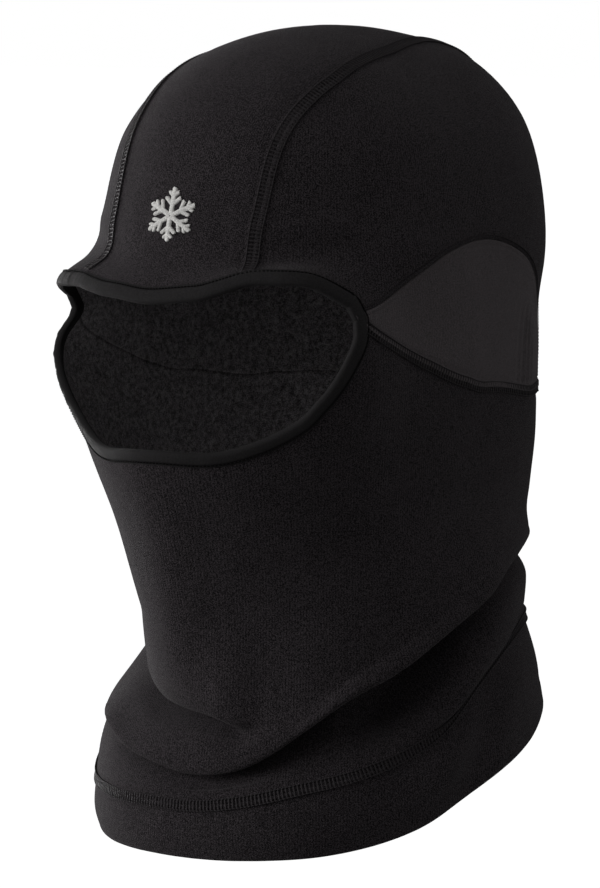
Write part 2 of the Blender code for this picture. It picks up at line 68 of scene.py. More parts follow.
# The garment is lofted through these rings. Each has a distance from the apex down
# the fabric and, round the compass, an angle from the front, a radius and a height.
RINGS = [
    (35, paired((33, -4.5), (32.5, -5.5), (31, -7), (34, -4), (36, -3))),
    (68, paired((61, -17), (59, -19), (55, -22), (61.5, -15), (65, -12))),
    (98, paired((82, -38), (77, -40), (71, -43), (80.5, -36), (86, -32))),
    (135, paired((95, -73), (87, -74), (78.5, -75), (89.5, -73), (96.5, -72))),
    (156, paired((100, -90), (91, -88), (79, -93), (89.5, -93), (95, -92))),
    # Brow: the fabric stands out round the edge of the opening.
    (168, [(0, 108, -99.5), (12, 107, -97.5), (23, 105, -93), (35, 105, -93.5),
           (45, 101, -101), (60, 86, -108), (90, 78.5, -108), (135, 87.5, -106),
           (180, 92.5, -105), (-135, 87.5, -106), (-90, 78.5, -108), (-60, 87, -108),
           (-45, 101.5, -102), (-35, 106, -97), (-23, 107, -96), (-12, 107.5, -97.5)]),
    # Eyes.
    (196, [(0, 108, -132), (25, 107, -132), (45, 104.5, -131), (62, 87, -131),
           (90, 78, -132), (135, 86.5, -132), (180, 91, -130), (-135, 86.5, -132),
           (-90, 78, -132), (-62, 88, -131), (-45, 104.5, -131), (-25, 107, -132)]),
    # Nose.
    (230, [(0, 109.5, -167), (12, 105, -168), (23, 100.5, -166), (45, 93, -164),
           (62, 83, -163), (90, 76.5, -162), (135, 86, -162), (180, 89, -160),
           (-135, 86, -162), (-90, 76.5, -162), (-62, 83, -163), (-45, 91, -164),
           (-23, 101, -166), (-12, 106, -168)]),
    # Mouth.
    (256, [(0, 101.5, -192), (12, 97, -192), (25, 92, -192), (45, 86, -190),
           (65, 80, -187), (90, 76.5, -183), (135, 84, -180), (180, 88, -178),
           (-135, 83, -180), (-90, 76, -184), (-45, 80.5, -190), (-25, 90, -192),
           (-12, 97, -192)]),
    # Chin.
    (290, [(0, 91, -230), (12, 89, -229), (25, 87, -226), (45, 85.5, -216),
           (70, 83, -206), (90, 81, -199), (115, 80.5, -193), (135, 82.5, -191),
           (180, 86, -190), (-135, 82, -196), (-90, 73, -208), (-60, 70, -222),
           (-45, 69.5, -227), (-25, 78, -230), (-12, 86, -231)]),
    # Crease where the face cover tucks in over the fold of the neck.
    (318, [(-50, 64, -246), (-28.5, 67, -253.5), (-10, 74, -262), (1.5, 79, -265),
           (10, 83, -267), (18.3, 88.5, -271), (30, 90.5, -262), (45, 89.5, -248),
           (70, 87.5, -227), (85, 85.5, -214), (98, 84, -205), (115, 82, -201),
           (135, 83, -198), (180, 85.5, -199), (-135, 81, -207), (-90, 70, -228),
           (-70, 66, -238)]),
    # Roll of the fold.
    (332, [(-50, 73.5, -254), (-28.5, 79.5, -261), (-10, 86.5, -270), (1.5, 89.5, -273),
           (10, 91, -275), (18.3, 92, -277), (30, 91.3, -268), (45, 90.3, -254),
           (70, 88.3, -233), (85, 86.3, -220), (98, 84, -209), (115, 81.5, -204.5),
           (135, 83.5, -202), (180, 86, -203), (-135, 83, -212), (-90, 74, -236),
           (-70, 72, -246)]),
    # Lowest edge of the fold.
    (344, [(-50, 84, -266), (-30, 90.5, -273), (-20, 91.5, -279.5), (-8, 92, -284),
           (7.5, 92, -287.5), (18, 91.5, -284.5), (33, 90, -271.3), (45, 89, -260),
           (58, 88, -250), (70, 87, -239.2), (84.6, 85, -225.8), (98, 82, -213.6),
           (115, 79, -208.5), (135, 80, -206), (180, 83, -207), (-135, 81, -217),
           (-90, 78, -246), (-70, 79, -257)]),
    # Valley behind that edge.
    (356, [(-50, 81.5, -267), (-30, 84, -272), (-20, 84, -277), (-8, 84, -281),
           (7.5, 83, -283), (18, 80, -279), (33, 75, -264), (45, 73, -252),
           (58, 72, -241), (70, 71, -230), (84.6, 71, -217.5), (98, 72, -208),
           (115, 73, -206), (135, 75, -205), (180, 78, -207), (-135, 75, -216),
           (-90, 80, -251.5), (-70, 81.5, -263)]),
    # Swell of the second, lower fold at the side.
    (374, [(-50, 87, -281), (-30, 89, -287), (-20, 89.5, -289.5), (-8, 90, -291.5),
           (7.5, 89.5, -293), (18, 88, -290), (33, 85, -281), (45, 82.5, -272),
           (58, 82, -262), (70, 84.5, -251), (84.6, 85.5, -236), (98, 83.5, -224),
           (115, 81, -218), (135, 82, -217), (180, 85, -219), (-135, 82, -230),
           (-90, 84, -260), (-70, 85, -272)]),
    # Lap of that fold over the seam.
    (386, [(-50, 88.5, -289), (-30, 91, -293), (-20, 91.5, -294), (-8, 91.5, -294.5),
           (7.5, 91.5, -294.5), (18, 90.5, -292), (33, 88, -285.5), (45, 87, -280),
           (58, 88, -272), (66, 88.7, -267), (73, 89, -264), (84.6, 87.5, -250),
           (98, 84.5, -239), (115, 80.5, -231.5), (135, 81.5, -229), (180, 84.5, -230),
           (-135, 83, -241), (-90, 85, -270), (-70, 86.5, -281)]),
    # Seam of the band.
    (394, [(-50, 89, -295), (-30, 91.5, -298), (-20, 92, -299), (-8, 92, -299.3),
           (7.5, 92, -299.3), (18, 91.8, -297), (33, 91, -291.5), (45, 90.5, -287),
           (58, 89, -280), (70, 86, -271), (84.6, 82, -255), (98, 80.5, -243.5),
           (115, 80, -235.5), (135, 81.5, -233.5), (180, 85, -235), (-135, 83.5, -246),
           (-90, 86, -275), (-70, 87.5, -286.5)]),
    # Middle of the band.
    (410, [(-50, 90, -307.5), (-30, 92, -311), (-8, 93, -312), (7.5, 93, -312),
           (18, 93, -311), (33, 92.5, -307.5), (45, 92, -303.5), (58, 91.5, -297),
           (70, 90.5, -288.5), (84.6, 88, -274.5), (98, 86.5, -264), (115, 85, -254),
           (135, 86, -250), (180, 88.5, -250), (-135, 87, -262), (-90, 88, -290),
           (-70, 89, -301)]),
    # Hem.
    (424, [(-50, 88, -315.5), (-29, 90, -318.5), (-9, 91, -319.5), (18, 91, -319.5),
           (40, 91, -316.5), (63, 90.5, -307.5), (75, 90, -300), (89.6, 89.3, -289.5),
           (105, 89, -280.5), (120, 88.7, -272.5), (135, 89, -267.5), (180, 90, -264),
           (-135, 88.5, -277), (-90, 87, -301), (-70, 87, -310.5)]),
]

# Seam lines on the opened-out fabric of the wearer's left side: x runs to the left
# ear and y to the back, both as distances from the apex.
EYE_UPPER = [(0, -172.5), (32, -169.5), (51, -164.5), (66.5, -158)]
EYE_SIDE = [(66.5, -158), (85, -149), (105, -135), (119, -124)]
EYE_CORNER = [(119, -124), (125.5, -123.5)]
EYE_LOWER = [(125.5, -123.5), (130, -129), (131, -139), (129, -152), (125, -163),
             (117, -178), (100, -195), (80, -208), (58, -216.5), (31, -222), (0, -224.5)]
CROWN_LINE = [(66.5, -158), (60, -148), (54, -133), (50, -115), (46.5, -97), (45.5, -80),
              (46.5, -62), (47, -46), (43, -10), (37, 12), (32.5, 30), (30, 60), (30.5, 95),
              (34, 146), (42, 206)]
EAR_UPPER = [(119, -124), (125, -119), (135, -95), (144, -65), (146, -40), (144, 0),
             (143, 40), (139, 85), (139.5, 120)]
EAR_REAR = [(139.5, 120), (144, 134), (150, 145)]
EAR_LOWER = [(125.5, -123.5), (132, -119), (144, -110), (162, -94), (177, -77), (191, -53),
             (200, -26), (204.5, 10), (197, 62), (180, 106), (150, 145)]
NAPE_SIDE = [(42, 206), (80, 195), (117, 173), (150, 145)]
NAPE_BACK = [(0, 211), (21, 209.6), (42, 206)]


def ring_curve(pairs):
    """Smooth periodic curve through (degrees, value) pairs."""
    pairs = sorted(pairs)
    angle = np.radians([pair[0] for pair in pairs])
    value = np.array([pair[1] for pair in pairs], float)
    turn = 2 * np.pi
    angle = np.concatenate([angle - turn, angle, angle + turn])
    value = np.tile(value, 3)
    step = np.diff(angle)
    rise = np.diff(value) / step
    slope = np.zeros_like(value)
    slope[1:-1] = (rise[:-1] * step[1:] + rise[1:] * step[:-1]) / (step[1:] + step[:-1])

    def curve(phi):
        wrapped = (np.asarray(phi, float) + np.pi) % turn - np.pi
        i = np.clip(np.searchsorted(angle, wrapped, side="right") - 1, 0, len(angle) - 2)
        return hermite((wrapped - angle[i]) / step[i], step[i],
                       value[i], value[i + 1], slope[i], slope[i + 1])
    return curve


def hermite(s, length, a, b, slope_a, slope_b):
    """Cubic from a to b over a length, with the given end slopes."""
    return ((2 * s ** 3 - 3 * s ** 2 + 1) * a + (s ** 3 - 2 * s ** 2 + s) * length * slope_a
            + (-2 * s ** 3 + 3 * s ** 2) * b + (s ** 3 - s ** 2) * length * slope_b)


RING_AT = np.array([0.0] + [ring[0] for ring in RINGS])
RADIUS = [ring_curve([(k[0], k[1]) for k in ring[1]]) for ring in RINGS]
HEIGHT = [ring_curve([(k[0], k[2]) for k in ring[1]]) for ring in RINGS]


def loft(values, first, s, i):
    """Follow the rings down one meridian."""
    run = np.diff(RING_AT)
    ends = np.concatenate([first[None], values, (2 * values[-1] - values[-2])[None]])
    places = np.concatenate([[-RING_AT[1]], RING_AT, [2 * RING_AT[-1] - RING_AT[-2]]])
    slopes = []
    for k in range(len(RING_AT)):
        before = places[k + 1] - places[k]
        after = places[k + 2] - places[k + 1]
        rise_a = (ends[k + 1] - ends[k]) / before
        rise_b = (ends[k + 2] - ends[k + 1]) / after
        slopes.append((rise_a * after + rise_b * before) / (before + after))
    slopes = np.stack(slopes)

    def pick(table, index):
        return np.take_along_axis(table, index[None], 0)[0]
    return hermite(s, run[i], pick(values, i), pick(values, i + 1),
                   pick(slopes, i), pick(slopes, i + 1))


def surface(x, y):
    """Outer face of the garment, in millimetres, above a point of the opened-out fabric."""
    x, y = np.broadcast_arrays(np.asarray(x, float), np.asarray(y, float))
    phi = np.arctan2(x, -y)
    down = np.hypot(x, y)
    radii = np.stack([np.zeros_like(phi)] + [curve(phi) for curve in RADIUS])
    heights = np.stack([np.zeros_like(phi)] + [curve(phi) for curve in HEIGHT])
    i = np.clip(np.searchsorted(RING_AT, down, side="right") - 1, 0, len(RING_AT) - 2)
    span = np.diff(RING_AT)[i]
    s = (down - RING_AT[i]) / span
    radius = loft(radii, -RADIUS[0](phi + np.pi), s, i)
    height = loft(heights, HEIGHT[0](phi + np.pi), s, i)
    out, up = throat_folds(down, np.degrees(phi))
    radius = radius + out
    height = height + up
    return np.stack([radius * np.sin(phi), -radius * np.cos(phi), height + FABRIC], -1)


def throat_folds(down, turn):
    """What the sharper folds below the chin add to the radius and to the height."""
    # The face cover's lower edge hangs over the roll in front.
    front = smooth(-50, -26, turn) * (1 - smooth(10, 24, turn))
    lip = smooth(286, 311, down) * (1 - smooth(311.5, 318.5, down)) * front
    tuck = bump(down, 320.5, 4.5) * front
    out = 8.0 * lip - 2.5 * tuck
    up = -4.0 * lip + 3.5 * tuck
    # It rides higher over the side, and the tube falls away behind it.
    side = smooth(24, 48, turn) * (1 - smooth(84, 108, turn))
    up = up + (4.0 + 2.0 * bump(turn, 72, 12)) * side * bump(down, 338, 17)
    out = out + 3.0 * side * bump(down, 341, 9)
    middle = np.interp(turn, [45, 55, 61, 67, 73, 80, 110], [367, 373, 372, 369, 365, 361, 360])
    valley = smooth(40, 58, turn) * (1 - smooth(96, 118, turn)) * bump(down, middle, 9)
    out = out - 10.5 * valley
    # Pocket under the roll.
    pocket = smooth(-62, -40, turn) * (1 - smooth(8, 26, turn)) * bump(down, 357, 7)
    out = out - 5.5 * pocket
    up = up + 3.0 * pocket
    # The band caves in a little at the side.
    out = out - 3.0 * bump(turn, 90 - 0.5 * (down - 400), 10) * smooth(396, 411, down)
    return out, up


def unit(vectors):
    """Vectors brought to length 1."""
    return vectors / np.linalg.norm(vectors, axis=-1, keepdims=True)


def run_along(points):
    """Distance of each point of a line from its first."""
    return np.concatenate([[0], np.cumsum(np.linalg.norm(np.diff(points, axis=0), axis=1))])


def heading(points, closed):
    """Direction of a line at each of its points, of any length."""
    if closed:
        return np.roll(points, -1, 0) - np.roll(points, 1, 0)
    return np.gradient(points, axis=0)


def around_apex(down, angle):
    """Points of the opened-out fabric, from the distance down it and the angle round."""
    return np.stack([down * np.sin(angle), -down * np.cos(angle)], -1)


def normal(x, y):
    """Outward direction of the garment's face."""
    step = SLOPE_STEP
    along_x = surface(x + step, y) - surface(x - step, y)
    along_y = surface(x, y + step) - surface(x, y - step)
    return unit(np.cross(along_x, along_y))


def divide(points, cells):
    """Points at even distances along a smooth curve."""
    points = np.array(points, float)
    ends = np.concatenate([[2 * points[0] - points[1]], points, [2 * points[-1] - points[-2]]])
    fine = []
    for k in range(1, len(ends) - 2):
        for s in np.arange(16) / 16:
            tangent_a = (ends[k + 1] - ends[k - 1]) / 2
            tangent_b = (ends[k + 2] - ends[k]) / 2
            fine.append(hermite(s, 1.0, ends[k], ends[k + 1], tangent_a, tangent_b))
    fine.append(points[-1])
    fine = np.array(fine)
    run = run_along(fine)
    at = np.linspace(0, run[-1], cells + 1)
    return np.stack([np.interp(at, run, fine[:, 0]), np.interp(at, run, fine[:, 1])], -1)


def divide_half(points, cells):
    """The half of a line that starts square to the middle of the garment."""
    other = [(-x, y) for x, y in points[:0:-1]]
    return divide(other + list(points), 2 * cells)[cells:]


def shorten(line, start, end):
    """A line cut back at its two ends, measured over the garment, with its cells kept."""
    here = surface(line[:, 0], line[:, 1])
    run = run_along(here)
    inner = run[(run > start + 1.0) & (run < run[-1] - end - 1.0)]
    at = np.concatenate([[start], inner, [run[-1] - end]])
    return np.stack([np.interp(at, run, line[:, 0]), np.interp(at, run, line[:, 1])], -1)


def mirror(points):
    """The same line on the wearer's right side."""
    return points * np.array([-1, 1])


def join(*lines):
    """Lines laid end to end."""
    return np.concatenate([lines[0]] + [line[1:] for line in lines[1:]])


def coons(start, end, left, right):
    """Grid between four lines: start and end run across, left and right run along."""
    u = np.linspace(0, 1, len(start))[None, :, None]
    v = np.linspace(0, 1, len(left))[:, None, None]
    across = (1 - v) * start[None] + v * end[None]
    along = (1 - u) * left[:, None] + u * right[:, None]
    corners = ((1 - u) * (1 - v) * start[0] + u * (1 - v) * start[-1]
               + (1 - u) * v * end[0] + u * v * end[-1])
    return across + along - corners


# ---------------------------------------------------------------- fabric grids

def along(points, axis):
    """Distance from the first row or column of a grid of points, over the garment."""
    steps = np.linalg.norm(np.diff(points, axis=axis), axis=-1)
    total = np.cumsum(steps, axis=axis)
    zero = np.zeros_like(np.take(total, [0], axis=axis))
    return np.concatenate([zero, total], axis=axis)


def from_edges(points):
    """Distance of every point of a grid from its first and last rows and columns."""
    down = along(points, 0)
    across = along(points, 1)
    return {"start": down, "end": down[-1:] - down, "left": across,
            "right": across[:, -1:] - across}


def smooth(edge_a, edge_b, value):
    """0 before edge_a, 1 after edge_b, and a smooth step between them."""
    s = np.clip((value - edge_a) / (edge_b - edge_a), 0, 1)
    return s * s * (3 - 2 * s)


def bump(distance, centre, width):
    """A rounded ridge of height 1."""
    return np.exp(-((distance - centre) / width) ** 2)


def seam_relief(distance, half_width):
    """Rise of the fabric beside a flat seam: a flat ridge with a shallow dip beside it."""
    return (0.42 * (1 - smooth(half_width - 0.2, half_width + 0.9, distance))
            - 0.22 * bump(distance, half_width + 1.5, 0.9))


def waves(points, scale, seed):
    """Gentle uneven waves over the garment, from a few crossed ripples."""
    draw = np.random.default_rng(seed)
    total = np.zeros(points.shape[:-1])
    for _ in range(7):
        direction = draw.normal(size=3)
        direction /= np.linalg.norm(direction)
        length = scale * draw.uniform(0.6, 1.6)
        total += np.sin(points @ direction * 2 * np.pi / length + draw.uniform(0, 6.3))
    return total / 7


# ---------------------------------------------------------------- meshes

def slack(points):
    """Where the edge of the opening falls inwards on the wearer's right for want of a face."""
    points = np.asarray(points, float).copy()
    near = np.exp(-((points[:, 0] + 74) / 20) ** 2 - ((points[:, 1] + 72) / 30) ** 2)
    dent = 6.2 * np.exp(-((points[:, 2] + 110) / 8.5) ** 2) * near
    points[:, 0] += 0.79 * dent
    points[:, 1] += 0.61 * dent
    return points


def make_mesh(name, vertices, quads, materials, uv=None, index=None):
    """A smooth-shaded object from arrays of vertices in millimetres and of quads."""
    mesh = bpy.data.meshes.new(name)
    mesh.vertices.add(len(vertices))
    mesh.vertices.foreach_set("co", (slack(vertices) * MM).ravel())
    mesh.loops.add(quads.size)
    mesh.loops.foreach_set("vertex_index", quads.ravel())
    mesh.polygons.add(len(quads))
    mesh.polygons.foreach_set("loop_start", np.arange(0, quads.size, 4))
    mesh.polygons.foreach_set("loop_total", np.full(len(quads), 4))
    if uv is not None:
        layer = mesh.uv_layers.new(name="cut")
        layer.data.foreach_set("uv", (np.asarray(uv, float) * MM)[quads.ravel()].ravel())
    for material in materials:
        mesh.materials.append(material)
    if index is not None:
        mesh.polygons.foreach_set("material_index", index)
    mesh.polygons.foreach_set("use_smooth", np.ones(len(quads), bool))
    mesh.update(calc_edges=True)
    mesh.validate()
    thing = bpy.data.objects.new(name, mesh)
    bpy.context.scene.collection.objects.link(thing)
    return thing


def grid_quads(rows, columns, wrap_rows=False, wrap_columns=False):
    """Quads of a grid of vertices; either way round may be closed."""
    r = np.arange(rows if wrap_rows else rows - 1)[:, None]
    c = np.arange(columns if wrap_columns else columns - 1)[None, :]
    after_r = (r + 1) % rows
    after_c = (c + 1) % columns
    quads = np.stack([r * columns + c, r * columns + after_c,
                      after_r * columns + after_c, after_r * columns + c], -1)
    return quads.reshape(-1, 4)


def cloth(name, outer, inner, uv, materials, closed=False):
    """A sheet with thickness: an outer face, a fleecy inner one and a rim between them."""
    rows, columns = outer.shape[:2]
    count = rows * columns
    face = grid_quads(rows, columns, wrap_columns=closed)
    back = face[:, ::-1] + count
    rim = [np.arange(columns), np.arange(columns) + (rows - 1) * columns]
    rims = []
    for k, line in enumerate(rim):
        ahead = np.roll(line, -1) if closed else line[1:]
        here = line if closed else line[:-1]
        quad = np.stack([here, here + count, ahead + count, ahead], -1)
        rims.append(quad if k == 0 else quad[:, ::-1])
    if not closed:
        for k, column in enumerate((0, columns - 1)):
            line = np.arange(rows) * columns + column
            quad = np.stack([line[:-1], line[1:], line[1:] + count, line[:-1] + count], -1)
            rims.append(quad if k == 0 else quad[:, ::-1])
    quads = np.concatenate([face, back] + rims)
    index = np.concatenate([np.zeros(len(face), int), np.ones(len(back), int),
                            np.zeros(sum(len(r) for r in rims), int)])
    vertices = np.concatenate([outer.reshape(-1, 3), inner.reshape(-1, 3)])
    coordinates = np.concatenate([uv.reshape(-1, 2), uv.reshape(-1, 2)])
    thing = make_mesh(name, vertices, quads, materials, coordinates, index)
    return outward(thing)


def outward(thing):
    """Turn a closed mesh right side out."""
    mesh = thing.data
    corners = np.empty(len(mesh.loops), int)
    mesh.loops.foreach_get("vertex_index", corners)
    points = np.empty(len(mesh.vertices) * 3)
    mesh.vertices.foreach_get("co", points)
    points = points.reshape(-1, 3)[corners.reshape(-1, 4)]
    volume = 0.0
    for a, b, c in ((0, 1, 2), (0, 2, 3)):
        volume += np.sum(points[:, a] * np.cross(points[:, b], points[:, c]))
    if volume < 0:
        mesh.flip_normals()
    return thing


def tube(path, up, radius, sides=6, squash=1.0):
    """Vertices and quads of a thread along a path; up points away from the fabric."""
    ahead = np.gradient(path, axis=0)
    ahead /= np.linalg.norm(ahead, axis=-1, keepdims=True) + 1e-9
    side = np.cross(ahead, up)
    side /= np.linalg.norm(side, axis=-1, keepdims=True) + 1e-9
    rise = np.cross(side, ahead)
    turn = np.arange(sides) * 2 * np.pi / sides
    ring = (np.cos(turn)[None, :, None] * side[:, None]
            + squash * np.sin(turn)[None, :, None] * rise[:, None])
    body = path[:, None] + radius * ring
    count = len(path)
    vertices = body.reshape(-1, 3)
    quads = grid_quads(count, sides, wrap_columns=True)
    caps = []
    if sides == 6:
        for base, turned in ((0, True), ((count - 1) * sides, False)):
            cap = np.array([[0, 1, 2, 3], [0, 3, 4, 5]]) + base
            caps.append(cap[:, ::-1] if turned else cap)
    return vertices, np.concatenate([quads] + caps)


def threads(name, tubes, material):
    """One object of many runs of thread."""
    vertices = []
    quads = []
    count = 0
    for run_vertices, run_quads in tubes:
        vertices.append(run_vertices)
        quads.append(run_quads + count)
        count += len(run_vertices)
    return make_mesh(name, np.concatenate(vertices), np.concatenate(quads), [material])


# ---------------------------------------------------------------- stitches

def fine_line(line, step, closed=False):
    """Points at even distances over the garment along a line, with their frames."""
    x = line[:, 0]
    y = line[:, 1]
    if closed:
        x = np.append(x, x[0])
        y = np.append(y, y[0])
    here = surface(x, y)
    run = run_along(here)
    cells = max(int(run[-1] / step), 2)
    at = np.linspace(0, run[-1], cells + 1)
    if closed:
        at = at[:-1]
    px = np.interp(at, run, x)
    py = np.interp(at, run, y)
    return px, py, at, run[-1]


def stitch_run(line, width_at, lift_at, step, radius, closed=False, squash=0.8):
    """A thread that wanders across a line by width_at(s) and lies lift_at(s) over it."""
    px, py, at, _ = fine_line(line, step, closed)
    here = surface(px, py)
    across = unit(np.cross(normal(px, py), heading(here, closed)))
    shift = width_at(at)
    qx, qy = walk(px, py, across * shift[:, None])
    out = normal(qx, qy)
    path = surface(qx, qy) + out * lift_at(at)[:, None]
    return tube(path, out, radius, squash=squash)


def walk(x, y, move):
    """Where a short move over the garment leads on the opened-out fabric."""
    step = SLOPE_STEP
    along_x = (surface(x + step, y) - surface(x - step, y)) / (2 * step)
    along_y = (surface(x, y + step) - surface(x, y - step)) / (2 * step)
    a = np.sum(along_x * along_x, -1)
    b = np.sum(along_x * along_y, -1)
    c = np.sum(along_y * along_y, -1)
    d = np.sum(along_x * move, -1)
    e = np.sum(along_y * move, -1)
    det = a * c - b * b
    return x + (c * d - b * e) / det, y + (a * e - b * d) / det


def flat_seam(name, line, width, pitch, base, material, closed=False):
    """A flatlock seam: thread laid from side to side, held by a row of stitches at each edge."""
    half = width / 2
    draw = np.random.default_rng(9)
    runs = []

    px, py, _, _ = fine_line(line, pitch, closed)
    here = surface(px, py)
    ahead = heading(here, closed)
    aside = unit(np.cross(normal(px, py), ahead))
    ahead = unit(ahead)
    lean = draw.uniform(-0.12, 0.12, len(px))
    t = np.linspace(-1, 1, 9)
    move = (aside[:, None] * (t * half)[None, :, None]
            + ahead[:, None] * (t[None] * lean[:, None])[..., None])
    qx, qy = walk(np.repeat(px[:, None], 9, 1), np.repeat(py[:, None], 9, 1), move)
    out = normal(qx, qy)
    rise = (base - 0.12 + 0.26 * np.sqrt(np.clip(1 - t ** 4, 0, 1)) - 0.22 * bump(t, 0, 0.2)
            + draw.uniform(-0.04, 0.04, (len(px), 1)))
    path = surface(qx, qy) + out * rise[..., None]
    for k in range(len(px)):
        runs.append(tube(path[k], out[k], 0.27 * pitch, squash=0.55))
    for side in (-1, 1):
        offset = side * (half - 0.15)

        def row(s, offset=offset):
            return np.full_like(s, offset)

        def row_lift(s, side=side):
            wave = np.abs(np.sin(np.pi * (s / pitch + 0.5)))
            return base - 0.10 + 0.45 * np.sqrt(wave) - 0.35 * (wave < 0.3)
        runs.append(stitch_run(line, row, row_lift, pitch / 10, 0.25, closed))
    return threads(name, runs, material)


def topstitch(name, line, offset, base, pitch, material, closed=False, radius=0.19, share=None):
    """A single row of lockstitches: the thread dips into the fabric between them."""
    def row(s):
        return np.full_like(s, offset) if share is None else offset * share(s)

    def lift(s):
        phase = (s / pitch) % 1
        return base - 0.42 + 0.62 * np.sqrt(np.clip(np.sin(np.pi * np.clip(phase / 0.8, 0, 1)), 0, 1))
    return threads(name, [stitch_run(line, row, lift, pitch / 10, radius, closed)], material)


# ---------------------------------------------------------------- materials

class Nodes:
    """Short calls for building a material's nodes."""

    def __init__(self, name):
        self.material = bpy.data.materials.new(name)
        self.material.use_nodes = True
        self.tree = self.material.node_tree
        self.shader = self.tree.nodes["Principled BSDF"]

    def add(self, kind, inputs=(), **settings):
        node = self.tree.nodes.new(kind)
        for key, value in settings.items():
            setattr(node, key, value)
        for key, value in dict(inputs).items():
            if isinstance(value, bpy.types.NodeSocket):
                self.tree.links.new(value, node.inputs[key])
            else:
                node.inputs[key].default_value = value
        return node

    def noise(self, vector, scale, detail=3.0, roughness=0.6):
        return self.add("ShaderNodeTexNoise", {"Vector": vector, "Scale": scale, "Detail": detail,
                                               "Roughness": roughness}).outputs["Fac"]

    def math(self, operation, first, second=0.0, third=0.0):
        node = self.add("ShaderNodeMath", operation=operation)
        for socket, value in zip(node.inputs, (first, second, third)):
            if isinstance(value, bpy.types.NodeSocket):
                self.tree.links.new(value, socket)
            else:
                socket.default_value = value
        return node.outputs[0]

    def plus(self, first, second):
        return self.math("ADD", first, second)

    def times(self, first, second):
        return self.math("MULTIPLY", first, second)

    def ramp(self, factor, stops):
        node = self.add("ShaderNodeValToRGB", {"Fac": factor})
        while len(node.color_ramp.elements) < len(stops):
            node.color_ramp.elements.new(0.5)
        for element, (place, colour) in zip(node.color_ramp.elements, stops):
            element.position = place
            element.color = (colour[0], colour[1], colour[2], 1)
        return node.outputs["Color"]

    def bump(self, height, strength, distance, under=None):
        inputs = {"Height": height, "Strength": strength, "Distance": distance}
        if under is not None:
            inputs["Normal"] = under
        return self.add("ShaderNodeBump", inputs).outputs["Normal"]

    def finish(self, colour, roughness, normal_socket, sheen=0.0, sheen_roughness=0.5,
               specular=0.3):
        links = self.tree.links
        links.new(colour, self.shader.inputs["Base Color"])
        if isinstance(roughness, bpy.types.NodeSocket):
            links.new(roughness, self.shader.inputs["Roughness"])
        else:
            self.shader.inputs["Roughness"].default_value = roughness
        links.new(normal_socket, self.shader.inputs["Normal"])
        self.shader.inputs["Sheen Weight"].default_value = sheen
        self.shader.inputs["Sheen Roughness"].default_value = sheen_roughness
        self.shader.inputs["Sheen Tint"].default_value = (0.9, 0.86, 0.88, 1)
        self.shader.inputs["Specular IOR Level"].default_value = specular
        return self.material


def shade(colour, factor):
    """A colour made lighter or darker."""
    return tuple(channel * factor for channel in colour)


def knit_material(name, colour, wale, grain, contrast, sheen, roughness):
    """Brushed stretch knit: fine columns of loops under a short, uneven nap."""
    n = Nodes(name)
    space = n.add("ShaderNodeTexCoord")
    cut = n.add("ShaderNodeUVMap", uv_map="cut").outputs["UV"]
    place = space.outputs["Object"]
    nap = n.noise(place, 1.0 / grain, 3.0, 0.75)
    clump = n.noise(place, 0.3 / grain, 3.0, 0.6)
    patch = n.noise(place, 60.0, 3.0, 0.5)
    parts = n.add("ShaderNodeSeparateXYZ", {"Vector": cut})
    across = n.times(parts.outputs["X"], 2 * np.pi / wale)
    down = n.times(parts.outputs["Y"], 2 * np.pi / (wale * 0.8))
    ribs = n.math("SINE", across)
    loops = n.math("SINE", n.plus(down, n.times(ribs, 1.2)))
    weave = n.plus(n.times(ribs, 0.32), n.times(loops, 0.18))
    height = n.plus(nap, n.times(weave, 0.25))
    height = n.plus(height, n.times(clump, 0.15))
    tone = n.plus(n.times(nap, 0.93), n.times(clump, 0.03))
    tone = n.plus(tone, n.times(patch, 0.04))
    tone = n.plus(tone, n.times(weave, 0.05))
    base = n.ramp(tone, [(0.41, shade(colour, 1 - contrast)), (0.5, colour),
                         (0.59, shade(colour, 1 + 1.5 * contrast))])
    relief = n.bump(height, 0.8, 0.0006)
    return n.finish(base, roughness, relief, sheen, 0.28, 0.08)


def fleece_material(name, colour):
    """The brushed inside: short curled pile in small tufts."""
    n = Nodes(name)
    place = n.add("ShaderNodeTexCoord").outputs["Object"]
    tuft = n.noise(place, 2000.0, 3.0, 0.75)
    clump = n.noise(place, 500.0, 2.0, 0.6)
    tone = n.plus(n.times(tuft, 0.62), n.times(clump, 0.38))
    base = n.ramp(tone, [(0.39, shade(colour, 0.3)), (0.5, colour), (0.61, shade(colour, 2.1))])
    relief = n.bump(tone, 0.9, 0.0012)
    return n.finish(base, 0.95, relief, 0.1, 0.6, 0.1)


def tape_material(name, colour):
    """Elastic tape: fine ribs along it and a soft shine."""
    n = Nodes(name)
    cut = n.add("ShaderNodeUVMap", uv_map="cut").outputs["UV"]
    place = n.add("ShaderNodeTexCoord").outputs["Object"]
    parts = n.add("ShaderNodeSeparateXYZ", {"Vector": cut})
    ribs = n.math("SINE", n.times(parts.outputs["X"], 2 * np.pi / 0.00055))
    cords = n.math("SINE", n.times(parts.outputs["Y"], 2 * np.pi / 0.0007))
    nap = n.noise(place, 1500.0, 2.0, 0.6)
    weave = n.plus(n.times(ribs, 0.25), n.times(cords, 0.12))
    tone = n.plus(n.times(weave, 0.3), nap)
    base = n.ramp(tone, [(0.3, shade(colour, 0.75)), (0.7, shade(colour, 1.3))])
    relief = n.bump(n.plus(weave, nap), 0.4, 0.0003)
    return n.finish(base, 0.8, relief, 0.03, 0.4, 0.12)


